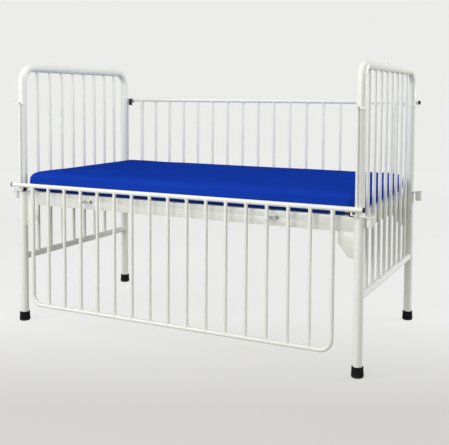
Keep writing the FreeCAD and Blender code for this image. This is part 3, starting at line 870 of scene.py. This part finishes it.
class COT_OT_corner_hardware(bpy.types.Operator):
    """Corner plates, accessory sockets, upper brackets, guide rods and their nuts"""
    bl_idname = "cot.corner_hardware"
    bl_label = "Corner Hardware"

    def execute(self, context):
        tubes = context.scene.cot_tubes
        place_at_corners("socket_plates", "socket_plate_", tubes.edge)
        place_at_corners("accessory_tubes", "accessory_socket_", SOCKET_EDGE)
        nodes = ["guide_rod_" + corner for corner in CORNERS]
        rods, tops = [], []
        for node in nodes:
            low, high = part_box(node)
            at = (low + high) / 2
            rods.append(tube_mesh([(at.x, at.y, low.z), (at.x, at.y, high.z)],
                                  high.x - low.x, facets=ROD_FACETS))
            tops.append(((at.x, at.y, high.z), NO_TURN))
        place("guide_rods", joined(rods), *nodes)
        cap = turned(eased(NUT_CAP, radius=0.0008), facets=36)
        place("rod_caps", fasteners(cap, tops), "rod_nuts", slot="zinc_plate")
        for side in SIDES:
            node = side + "_upper_brackets"
            place(side + "_brackets", eased_plate(node, tubes.edge), node)
        place("corner_welds", corner_beads(tubes), crease=WELD_CREASE)
        return {"FINISHED"}


def corner_beads(tubes):
    """Welds round legs and sockets at plates and brackets, and down rails' and gussets' ends."""
    reach = tubes.leg / 2 + tubes.bead * WELD_OFF
    plate_low, plate_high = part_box("socket_plate_rear_right")
    socket = middle("accessory_socket_rear_right")
    socket_radius = size("accessory_socket_rear_right").x / 2
    bracket_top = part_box("rear_upper_brackets")[1].z
    face_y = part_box("rear_side_rail")[1].y + RAIL_WELD_OFF
    runs = []
    for sign in ENDS.values():
        for side in SIDES.values():
            leg = (sign * ARCH_X, side * ARCH_Y)
            below = (sign * socket.x, side * socket.y)
            x = sign * (ARCH_X - reach)
            runs += [arc_run(leg, sign, side, reach, plate_high.z, *PLATE_TOP_WELD),
                     arc_run(leg, sign, side, reach, plate_low.z, *PLATE_UNDER_WELD),
                     arc_run(leg, sign, side, reach, bracket_top, *BRACKET_WELD),
                     arc_run(below, sign, side, socket_radius, plate_low.z, *SOCKET_WELD)]
            for node in ("rear_side_rail", "rear_gussets"):
                low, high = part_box(node)
                runs.append([(x, side * face_y, low.z + RAIL_WELD_INSET),
                             (x, side * face_y, high.z - RAIL_WELD_INSET)])
    return path_beads(runs, CORNER_SEED)


def arc_run(centre, sign, side, radius, z, first, last):
    """Points of a level arc; its degrees start outwards along X and turn to the guard's side."""
    steps = int((last - first) / WELD_STEP)
    angles = [math.radians(first + (last - first) * i / steps) for i in range(steps + 1)]
    return [(centre[0] + sign * radius * math.cos(a), centre[1] + side * radius * math.sin(a), z)
            for a in angles]


# ---- guards -------------------------------------------------------------------------------

END_PLUG = [(0, -0.016), (0.0062, -0.016), (0.0062, 0), (0.0084, 0), (0.0084, 0.0054),
            (0.0068, 0.0075), (0, 0.0080)]
SCREW_HEAD = [(0, -0.0004), (0.0024, -0.0004), (0.0024, 0.0008), (0.0021, 0.0014),
              (0.0012, 0.0014), (0.0011, 0.0006), (0, 0.0006)]
BOLT_R = 0.0065
BOLT_HEAD_HEIGHT = 0.005    # of the CAD bolts, which sit on the rings' straps
BOLT_HEAD = [(0, -0.006), (0.0040, -0.006), (0.0040, 0), (BOLT_R, 0), (BOLT_R, 0.0010),
             (0.0058, 0.0034), (0.0040, 0.0046), (0.0027, 0.0046), (0.0024, 0.0022),
             (0, 0.0022)]
LATCH_EDGE = 0.0008
SCREW_INSET = 0.0055        # the screws' axes inside a latch body's outer face
SCREW_DROPS = (0.0045, 0.0265)      # and below its top
KNOB_R = 0.00425
PIN_R = 0.0025


class COT_OT_guards(bpy.types.Operator):
    """Drop guards: top rail, bent frame, upright bars, welds, plugs and slider lugs"""
    bl_idname = "cot.guards"
    bl_label = "Drop Guards"

    def execute(self, context):
        tubes = context.scene.cot_tubes
        frame_x = tubes.guard_pitch * (tubes.guard_bars + 1) / 2
        first = -tubes.guard_pitch * (tubes.guard_bars - 1) / 2
        step = (tubes.guard_pitch, 0, 0)
        plug = turned(eased(END_PLUG, radius=0.0014), facets=40)
        for side, sign in SIDES.items():
            body, y, top = side + "_guard", sign * GUARD_Y, GUARD_RAIL_Z[side]
            rail_low, rail_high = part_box(side + "_guard_top_rail")
            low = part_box(side + "_guard_frame")[0].z + tubes.guard / 2
            rail = tube_mesh([(rail_low.x, y, top), (rail_high.x, y, top)], tubes.guard,
                             facets=tubes.facets)
            place(side + "_top_rail_tube", rail, side + "_guard_top_rail", body=body)
            bow = tube_mesh([(-frame_x, y, top), (-frame_x, y, low), (frame_x, y, low),
                             (frame_x, y, top)], tubes.guard, tubes.guard_bend, tubes.facets)
            place(side + "_frame_tube", bow, side + "_guard_frame", body=body)
            bars = bar_row_mesh((first, y, low), step, tubes.guard_bars, top - low,
                                tubes.bar, tubes.facets // 2)
            place(side + "_bars", bars, side + "_guard_bars", body=body)
            welds = [
                saddle_beads((first, y, low), step, tubes.guard_bars, tubes.bar,
                             tubes.guard, NO_TURN, seed=12.0 + sign),
                saddle_beads((first, y, top), step, tubes.guard_bars, tubes.bar,
                             tubes.guard, (math.pi, 0, 0), seed=15.0 + sign),
                saddle_beads((-frame_x, y, top), (2 * frame_x, 0, 0), 2, tubes.guard,
                             tubes.guard, (math.pi, 0, 0), seed=18.0 + sign)]
            place(side + "_guard_welds", joined(welds), body=body, crease=WELD_CREASE)
            spots = [((rail_low.x, y, top), (0, -QUARTER, 0)),
                     ((rail_high.x, y, top), (0, QUARTER, 0))]
            place(side + "_plugs", fasteners(plug, spots), side + "_guard_end_plugs",
                  body=body, slot="black_plastic")
            node = side + "_guard_lugs"
            place(side + "_lugs", eased_plate(node, tubes.edge), node, body=body)
        return {"FINISHED"}


class COT_OT_latches(bpy.types.Operator):
    """Moulded latch bodies with their screws, and spring pins with round knobs"""
    bl_idname = "cot.latches"
    bl_label = "Latches"

    def execute(self, context):
        head = turned(eased(SCREW_HEAD, radius=0.0004), facets=24)
        for side, sign in SIDES.items():
            body = side + "_guard"
            node = side + "_latch_housings"
            place(side + "_latch_bodies", eased_plate(node, LATCH_EDGE), node, body=body,
                  slot="black_plastic")
            low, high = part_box(node)
            inner_y = low.y if sign > 0 else high.y
            spots = [((out * (high.x - SCREW_INSET), inner_y, high.z - drop),
                      (sign * QUARTER, 0, 0))
                     for out in ENDS.values() for drop in SCREW_DROPS]
            place(side + "_latch_screws", fasteners(head, spots), body=body,
                  slot="zinc_plate")
            for end, out in ENDS.items():
                node = "%s_latch_pin_%s" % (side, end)
                low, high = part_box(node)
                at = (low + high) / 2
                start = low.x if out > 0 else high.x
                pin = turned(pin_profile(high.x - low.x), facets=32)
                pin = fasteners(pin, [((start, at.y, at.z), (0, out * QUARTER, 0))])
                place("%s_pin_%s" % (side, end), pin, node,
                      body="%s_latch_%s" % (side, end), slot="zinc_plate")
        return {"FINISHED"}


def pin_profile(reach):
    """A latch pin from its round knob to its bevelled tip."""
    knob = [(0, 0), (0.0030, 0), (KNOB_R, 0.0010), (KNOB_R, 0.0040), (0.0030, 0.0050)]
    shank = [(PIN_R, 0.0051), (PIN_R, reach - 0.0008), (0.0017, reach), (0, reach)]
    return eased(knob + shank, radius=0.0005)


class COT_OT_guide_rings(bpy.types.Operator):
    """Strap rings that hold two bars of each guard, and their bolts"""
    bl_idname = "cot.guide_rings"
    bl_label = "Guide Rings"

    def execute(self, context):
        place_at_corners("guide_rings", "guide_ring_", context.scene.cot_tubes.edge)
        low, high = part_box("ring_bolts")
        head = turned(eased(BOLT_HEAD, radius=0.0008), facets=36)
        spots = [((x, sign * (high.y - BOLT_HEAD_HEIGHT), (low.z + high.z) / 2),
                  (-sign * QUARTER, 0, 0))
                 for sign in SIDES.values() for x in (high.x - BOLT_R, low.x + BOLT_R)]
        place("ring_bolt_heads", fasteners(head, spots), "ring_bolts", slot="zinc_plate")
        return {"FINISHED"}


# ---- mattress -----------------------------------------------------------------------------

EDGE_STEPS = 7
CORNER_STEPS = 9
SLACK_SHARE = 0.8           # of the swell, by which the cover starts inside its place
CORNER_GROWTH = 0.4         # of an edge's inset, added to the corners' radius there
INFLATE_FRAMES = 20
FOAM_COVER = {"quality": 4, "mass": 0.3, "tension_stiffness": 15, "compression_stiffness": 15,
              "shear_stiffness": 5, "bending_stiffness": 0.5, "use_pressure": True}
STILL = 1e-12               # metres added to each point's way, so that none is nought
BROAD_WAVES, BROAD_SHIFT = (5, 7, 0), 0.3      # waves to the metre along X, Y and Z
FINE_WAVES, FINE_SHIFT = (16, 16, 0), 4.0
FINE_RIPPLE = 0.0004
TUCK_WAVES = (22, 22, 6)
TUCKED_FROM = 0.9           # share of the half size past which the sides are tucked
TUCK_FALL = 0.6             # share by which the tucks fade towards the top
SEAM_DROP = 0.95            # of the upper edge's radius, from the top down to the upper seam
SEAM_FACETS = 8
SEAM_POINTS = 420
SEAM_SUNK = 0.35            # of its radius, by which a seam's line lies in the cover
OUTSIDE, INSIDE = 1.05, 0.8     # shares of the outline that a seam's rays start at and aim at


class COT_OT_mattress(bpy.types.Operator):
    """Foam mattress in a blue vinyl cover with welted seams"""
    bl_idname = "cot.mattress"
    bl_label = "Mattress"

    def execute(self, context):
        settings = context.scene.cot_mattress
        low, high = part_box("mattress")
        cover = cover_block(low, high, settings)
        cover = inflated(cover, settings)
        cover = settled(cover, low, high, settings)
        piece = place("mattress_cover", cover, "mattress", slot="blue_vinyl",
                      crease=COVER_CREASE)
        tree = BVHTree.FromPolygons([v.co for v in cover.vertices],
                                    [p.vertices for p in cover.polygons])
        runs = [seam_line(tree, low, high, settings, z)
                for z in (high.z - settings.edge * SEAM_DROP, low.z + settings.base_edge)]
        seams = grown("tube", polyline(*runs), Diameter=settings.seam * 2, Bend_Radius=0.0,
                      Facets=SEAM_FACETS, Bend_Steps=1)
        place("mattress_seams", seams, slot="blue_vinyl", crease=COVER_CREASE)
        return {"FINISHED"}


def rounded_outline(half_x, half_y, radius):
    """Points round a rectangle with rounded corners, anticlockwise from its right side."""
    points = []
    for quarter, (sign_x, sign_y) in enumerate(((1, 1), (-1, 1), (-1, -1), (1, -1))):
        for i in range(CORNER_STEPS):
            turn = QUARTER * (quarter + i / (CORNER_STEPS - 1))
            points.append((sign_x * (half_x - radius) + radius * math.cos(turn),
                           sign_y * (half_y - radius) + radius * math.sin(turn)))
    return points


def cover_block(low, high, settings):
    """An evenly meshed slab with rounded corners and edges, a little smaller than its place."""
    slack = Vector((settings.swell, settings.swell, settings.swell)) * SLACK_SHARE
    low, high = low + slack, high - slack
    centre, half = (low + high) / 2, (high - low) / 2
    turns = [QUARTER * i / EDGE_STEPS for i in range(EDGE_STEPS + 1)]
    levels = [(low.z + settings.base_edge * (1 - math.cos(turn)),
               settings.base_edge * (1 - math.sin(turn))) for turn in turns]
    levels += [(high.z - settings.edge * (1 - math.sin(turn)),
                settings.edge * (1 - math.cos(turn))) for turn in turns]
    work = bmesh.new()
    rings = []
    for z, inset in levels:
        outline = rounded_outline(half.x - inset, half.y - inset,
                                  settings.corner + inset * CORNER_GROWTH)
        rings.append([work.verts.new((centre.x + x, centre.y + y, z)) for x, y in outline])
    for lower, upper in zip(rings, rings[1:]):
        for i in range(len(lower)):
            j = (i + 1) % len(lower)
            work.faces.new((lower[i], lower[j], upper[j], upper[i]))
    work.faces.new(rings[0][::-1])
    work.faces.new(rings[-1])

    def dress(carrier):
        remesh = carrier.modifiers.new("Remesh", "REMESH")
        remesh.mode = "VOXEL"
        remesh.voxel_size = settings.voxel
        remesh.adaptivity = 0
        smooth = carrier.modifiers.new("Smooth", "SMOOTH")
        smooth.factor = 0.5
        smooth.iterations = 3
    return evaluated_mesh(mesh_of(work, "block"), dress)


def coordinates(mesh):
    """The places of a mesh's points, one row each."""
    flat = np.empty(len(mesh.vertices) * 3)
    mesh.vertices.foreach_get("co", flat)
    return flat.reshape(-1, 3)


def inflated(mesh, settings):
    """The cover pressed outwards by its foam as a cloth, with each point's way capped."""
    rest = coordinates(mesh)
    carrier = bpy.data.objects.new("cover", mesh)
    scene = bpy.context.scene
    scene.collection.objects.link(carrier)
    cloth = carrier.modifiers.new("Cloth", "CLOTH").settings
    for name, value in FOAM_COVER.items():
        setattr(cloth, name, value)
    cloth.uniform_pressure_force = settings.pressure
    cloth.effector_weights.gravity = 0
    for step in range(1, INFLATE_FRAMES + 1):
        scene.frame_set(step)
    swollen = bpy.data.meshes.new_from_object(
        carrier.evaluated_get(bpy.context.evaluated_depsgraph_get()))
    scene.frame_set(1)
    bpy.data.objects.remove(carrier)
    way = coordinates(swollen) - rest
    far = np.linalg.norm(way, axis=1, keepdims=True) + STILL
    way *= settings.swell * np.tanh(far / settings.swell) / far
    swollen.vertices.foreach_set("co", (rest + way).ravel())
    return swollen


def settled(mesh, low, high, settings):
    """One subdivision, soft ripples and tucks, and the slab kept inside its place."""
    def dress(carrier):
        finer = carrier.modifiers.new("Finer", "SUBSURF")
        finer.levels = finer.render_levels = 1
    mesh = evaluated_mesh(mesh, dress)
    half = (high - low) / 2
    centre = (high + low) / 2
    for vertex in mesh.vertices:
        spot = vertex.co - centre
        top = max(0.0, spot.z / half.z)
        ripple = waved(spot, BROAD_WAVES, BROAD_SHIFT) * settings.ripple
        ripple += waved(spot, FINE_WAVES, FINE_SHIFT) * FINE_RIPPLE
        out = max(abs(spot.x) / half.x, abs(spot.y) / half.y)
        tuck = waved(spot, TUCK_WAVES) * settings.tuck
        tuck *= max(0.0, out - TUCKED_FROM) / (1 - TUCKED_FROM) * (1 - top * TUCK_FALL)
        spot.z += ripple * top
        spot.x -= math.copysign(tuck, spot.x)
        spot.y -= math.copysign(tuck, spot.y)
        vertex.co = centre + Vector([max(-h, min(h, s)) for s, h in zip(spot, half)])
    return mesh


def waved(spot, waves, shift=0.0):
    """Smooth noise about nought at a place, with so many waves to the metre."""
    x, y, z = (s * w for s, w in zip(spot, waves))
    return noise.noise(Vector((x, y, z + shift)))


def seam_line(tree, low, high, settings, z):
    """A line round the cover at one height, on its surface."""
    centre = (low + high) / 2
    half = (high - low) / 2
    outline = [Vector(point) for point in rounded_outline(half.x, half.y, settings.corner)]
    outline.append(outline[0])
    lengths = [0.0]
    for a, b in zip(outline, outline[1:]):
        lengths.append(lengths[-1] + (b - a).length)
    points = []
    for step in range(SEAM_POINTS + 1):
        want = lengths[-1] * step / SEAM_POINTS
        i = min(len(lengths) - 2, bisect_right(lengths, want) - 1)
        share = (want - lengths[i]) / (lengths[i + 1] - lengths[i])
        flat = outline[i].lerp(outline[i + 1], share)
        start, aim = (Vector((centre.x + flat.x * reach, centre.y + flat.y * reach, z))
                      for reach in (OUTSIDE, INSIDE))
        inward = (aim - start).normalized()
        hit = tree.ray_cast(start, inward)[0]
        if hit is not None:
            points.append(hit + inward * settings.seam * SEAM_SUNK)
    return points


# ---- stage --------------------------------------------------------------------------------

FLOOR_RINGS = (0, 2, 5, 9, 30)
FLOOR_FACETS = 96
FAR_LIFT, NEAR_LIFT = 1.075, 1.01     # shares of the backdrop's and the floor's colours, for a floor painted lighter under the cot and shaded towards the camera
NEAR_REACH = 0.82           # metres towards the camera at which the floor's painted shade is full
FADE = (2.5, 7.0)           # metres from the cot between which the floor fades away
GLOW = (1.6, 6.0, 0.78, 1.0)    # metres between which the floor's glow grows, then its shares
LOW_SKY, HIGH_SKY = 0.1, 0.95   # heights on a unit sphere between which the two lights blend
BED_CENTRE = (0, 0, 0.6)

# each lamp's place, what it aims at and its width
LAMPS = {"front_lamp": ((-0.1, -3.3, 1.3), BED_CENTRE, 1.6),
         "side_lamp": ((-2.2, -2.6, 2.4), BED_CENTRE, 1.6),
         "back_lamp": ((3.0, 1.6, 1.6), BED_CENTRE, 1.6),
         "top_lamp": ((0.2, -0.4, 2.6), (0.2, -0.4, 0), 3.0)}


class COT_OT_stage(bpy.types.Operator):
    """Pale floor, soft studio light and the camera"""
    bl_idname = "cot.stage"
    bl_label = "Studio"

    def execute(self, context):
        settings = context.scene.cot_stage
        floor_mesh = turned([(radius, 0) for radius in FLOOR_RINGS], FLOOR_FACETS)
        floor = bpy.data.objects.new("floor", floor_mesh)
        floor_mesh.materials.append(floor_finish(settings))
        context.scene.collection.objects.link(floor)
        world_light(settings)
        for name, (at, target, width) in LAMPS.items():
            add_lamp(name, at, target, width, getattr(settings, name))
        add_camera(settings)
        context.scene.view_settings.view_transform = "Standard"
        return {"FINISHED"}


def floor_finish(settings):
    """Pale floor that takes the shadow near the object, with painted shade that darkens it
    towards the camera, and fades into the backdrop.
    """
    material, graph, spot = new_finish("Studio floor")
    away = graph.node("ShaderNodeVectorMath", {"operation": "LENGTH"},
                      {"Vector": spot})["Value"]
    forward = graph.node("ShaderNodeVectorMath", {"operation": "DOT_PRODUCT"}, {
        0: spot, 1: (math.sin(settings.turn), -math.cos(settings.turn), 0)})["Value"]
    # painted shade: the floor darkens from under the cot towards the camera, whatever the lamps
    # do
    near = graph.mix(forward.between(0.0, NEAR_REACH, step="LINEAR"),
                     scaled(settings.backdrop, FAR_LIFT), scaled(settings.floor, NEAR_LIFT))
    tone = graph.mix(away.between(*FADE), near, settings.backdrop)
    glow = graph.node("ShaderNodeEmission", {}, {"Color": tone})["Emission"]
    paint = graph.node("ShaderNodeBsdfDiffuse", {}, {"Color": tone})["BSDF"]
    bounce = graph.node("ShaderNodeBsdfDiffuse", {}, {"Color": settings.underfoot})["BSDF"]
    open_floor = graph.mix_shaders(away.between(*GLOW), paint, glow)
    whole = graph.mix_shaders(shown_directly(graph), bounce, open_floor)
    graph.node("ShaderNodeOutputMaterial", {}, {"Surface": whole})
    return material


def shown_directly(graph):
    """One where the camera, a mirror or clear glass looks, nought for other light."""
    path = graph.node("ShaderNodeLightPath")
    seen = path["Is Camera Ray"].maths("MAXIMUM", path["Is Camera Ray"],
                                       path["Is Transmission Ray"])
    return seen.maths("MAXIMUM", seen, path["Is Glossy Ray"])


def world_light(settings):
    """Even light all round, seen as the backdrop's colour."""
    world = bpy.data.worlds.new("Studio")
    bpy.context.scene.world = world
    world.use_nodes = True
    world.node_tree.nodes.clear()
    graph = Graph(world.node_tree)
    lift = graph.axis(graph.node("ShaderNodeTexCoord")["Generated"], "Z")
    around, above = (
        graph.node("ShaderNodeBackground", {}, {"Color": (1, 1, 1), "Strength": strength})
        for strength in (settings.around, settings.above))
    light = graph.mix_shaders(lift.between(LOW_SKY, HIGH_SKY), around["Background"],
                              above["Background"])
    back = graph.node("ShaderNodeBackground", {}, {"Color": settings.backdrop})["Background"]
    whole = graph.mix_shaders(shown_directly(graph), light, back)
    graph.node("ShaderNodeOutputWorld", {}, {"Surface": whole})


def add_lamp(name, at, target, width, watts):
    """A square soft lamp aimed at a point."""
    lamp = bpy.data.lights.new(name, "AREA")
    lamp.shape = "SQUARE"
    lamp.size = width
    lamp.energy = watts
    holder = bpy.data.objects.new(name, lamp)
    holder.location = at
    holder.rotation_mode = "QUATERNION"
    holder.rotation_quaternion = (Vector(target) - Vector(at)).to_track_quat("-Z", "Y")
    holder.visible_camera = False
    bpy.context.scene.collection.objects.link(holder)


def add_camera(settings):
    """The camera, placed by its turn, dip and roll."""
    turn, dip, roll = settings.turn, settings.dip, settings.roll
    back = Vector((math.sin(turn) * math.cos(dip), -math.cos(turn) * math.cos(dip),
                   math.sin(dip)))
    right = Vector((math.cos(turn), math.sin(turn), 0))
    up = back.cross(right)
    right, up = (right * math.cos(roll) + up * math.sin(roll),
                 up * math.cos(roll) - right * math.sin(roll))
    data = bpy.data.cameras.new("camera")
    data.sensor_fit = "HORIZONTAL"
    data.sensor_width = 36
    data.lens = settings.lens
    data.shift_x, data.shift_y = settings.shift
    holder = bpy.data.objects.new("camera", data)
    holder.matrix_world = Matrix.Translation(settings.camera) @ Matrix(
        (right, up, back)).transposed().to_4x4()
    bpy.context.scene.collection.objects.link(holder)
    bpy.context.scene.camera = holder


# ---- add-on -------------------------------------------------------------------------------

class COT_PT_panel(bpy.types.Panel):
    """Builds the cot piece by piece"""
    bl_idname = "COT_PT_panel"
    bl_label = "Hospital Cot"
    bl_space_type = "VIEW_3D"
    bl_region_type = "UI"
    bl_category = "Cot"

    def draw(self, context):
        column = self.layout.column(align=True)
        for operator in OPERATORS:
            column.operator(operator.bl_idname)
        for group in SETTINGS:
            settings = getattr(context.scene, group)
            box = self.layout.box()
            for name in settings.__annotations__:
                box.prop(settings, name)


SETTINGS = {"cot_tubes": CotTubes, "cot_finish": CotFinish, "cot_mattress": CotMattress,
            "cot_stage": CotStage}
OPERATORS = (COT_OT_end_frames, COT_OT_feet, COT_OT_bed_base, COT_OT_corner_hardware,
             COT_OT_guards, COT_OT_latches, COT_OT_guide_rings, COT_OT_mattress, COT_OT_stage)


def register():
    for group in (*SETTINGS.values(), *OPERATORS, COT_PT_panel):
        bpy.utils.register_class(group)
    for name, group in SETTINGS.items():
        setattr(bpy.types.Scene, name, PointerProperty(type=group))


def unregister():
    for name in SETTINGS:
        delattr(bpy.types.Scene, name)
    for group in reversed((*SETTINGS.values(), *OPERATORS, COT_PT_panel)):
        bpy.utils.unregister_class(group)


def main():
    register()
    for operator in OPERATORS:
        _, name = operator.bl_idname.split(".")
        getattr(bpy.ops.cot, name)()


if __name__ == "__main__":
    main()
